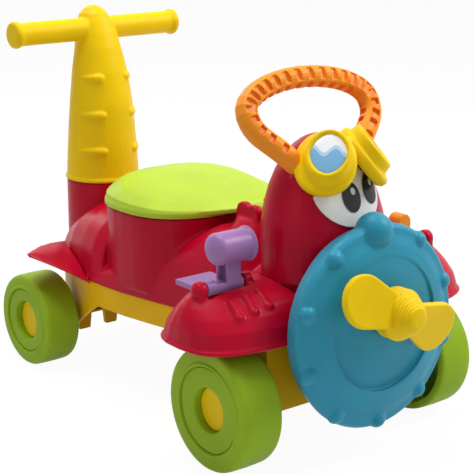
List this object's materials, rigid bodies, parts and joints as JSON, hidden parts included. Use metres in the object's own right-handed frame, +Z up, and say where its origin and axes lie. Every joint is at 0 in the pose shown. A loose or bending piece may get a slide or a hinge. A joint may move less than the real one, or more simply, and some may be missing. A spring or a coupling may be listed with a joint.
{
  "type": "ride-on toy airplane",
  "caption": "Child's ride-on toy airplane with four wheels, a spinning propeller, a hinged seat over a storage bin, a hand loop and a rear push handle.",
  "frame": {"origin": "on the ground, under the middle of the toy", "axes": "+X to the toy's left, +Y to the tail and the push handle, +Z up"},
  "size_m": [0.401, 0.6456, 0.455],
  "materials": {
    "red": "smooth moulded plastic with a soft sheen",
    "yellow": "smooth moulded plastic",
    "yellow_dark": "moulded plastic, lightly textured",
    "lime": "smooth moulded plastic, fine grooves on the seat",
    "green": "blow-moulded plastic, turned look",
    "teal": "smooth moulded plastic",
    "orange": "smooth moulded plastic",
    "purple": "smooth moulded plastic",
    "white": "smooth",
    "black": "smooth",
    "pale_blue": "glossy printed lens",
    "bush": "plain nylon",
    "steel": "plain bright steel"
  },
  "bodies": {
    "frame": {"chassis": "yellow_dark", "body_shell": "red", "wing_right": "red", "wing_left": "red", "tail_fin_right": "red", "tail_fin_left": "red", "head_shell": "red", "eye_plate": "white", "pupils": "black", "goggles": "yellow", "lens_right": "pale_blue", "lens_left": "pale_blue", "hand_loop": "orange", "nose_disc": "teal", "push_handle": "yellow", "seat_hinge_pin": "steel", "lever_pin_right": "steel", "lever_pin_left": "steel", "front_axle": "steel", "rear_axle": "steel", "front_bushes": "bush", "rear_bushes": "bush", "front_push_nuts": "steel", "rear_push_nuts": "steel", "chassis_screws": "steel", "disc_screws": "steel", "head_screws": "steel", "wing_screws": "steel", "handle_screws": "steel"},
    "wheel_front_right_body": {"wheel_front_right": "green", "hub_cap_front_right": "yellow"},
    "wheel_front_left_body": {"wheel_front_left": "green", "hub_cap_front_left": "yellow"},
    "wheel_rear_right_body": {"wheel_rear_right": "green", "hub_cap_rear_right": "yellow"},
    "wheel_rear_left_body": {"wheel_rear_left": "green", "hub_cap_rear_left": "yellow"},
    "propeller_body": {"propeller": "yellow", "propeller_shaft": "steel", "propeller_clip": "steel"},
    "seat_body": {"seat_lid": "lime"},
    "lever_right_body": {"lever_right": "purple"},
    "lever_left_body": {"lever_left": "orange"}
  },
  "joints": [
    {"name": "front_right_wheel_spin", "type": "hinge", "parent": "frame", "child": "wheel_front_right_body", "pos_m": [-0.147, -0.17775, 0.07], "axis": [1, 0, 0], "continuous": true},
    {"name": "front_left_wheel_spin", "type": "hinge", "parent": "frame", "child": "wheel_front_left_body", "pos_m": [0.147, -0.17775, 0.07], "axis": [1, 0, 0], "continuous": true},
    {"name": "rear_right_wheel_spin", "type": "hinge", "parent": "frame", "child": "wheel_rear_right_body", "pos_m": [-0.127, 0.23825, 0.06], "axis": [1, 0, 0], "continuous": true},
    {"name": "rear_left_wheel_spin", "type": "hinge", "parent": "frame", "child": "wheel_rear_left_body", "pos_m": [0.127, 0.23825, 0.06], "axis": [1, 0, 0], "continuous": true},
    {"name": "propeller_spin", "type": "hinge", "parent": "frame", "child": "propeller_body", "pos_m": [0, -0.29775, 0.174], "axis": [0, 1, 0], "continuous": true},
    {"name": "seat_hinge", "type": "hinge", "parent": "frame", "child": "seat_body", "pos_m": [0, -0.05675, 0.244], "axis": [1, 0, 0], "range_deg": [0, 75]},
    {"name": "lever_right_tilt", "type": "hinge", "parent": "frame", "child": "lever_right_body", "pos_m": [-0.14, -0.16575, 0.203], "axis": [-1, 0, 0], "range_deg": [0, 45]},
    {"name": "lever_left_tilt", "type": "hinge", "parent": "frame", "child": "lever_left_body", "pos_m": [0.14, -0.16575, 0.203], "axis": [-1, 0, 0], "range_deg": [0, 45]}
  ]
}
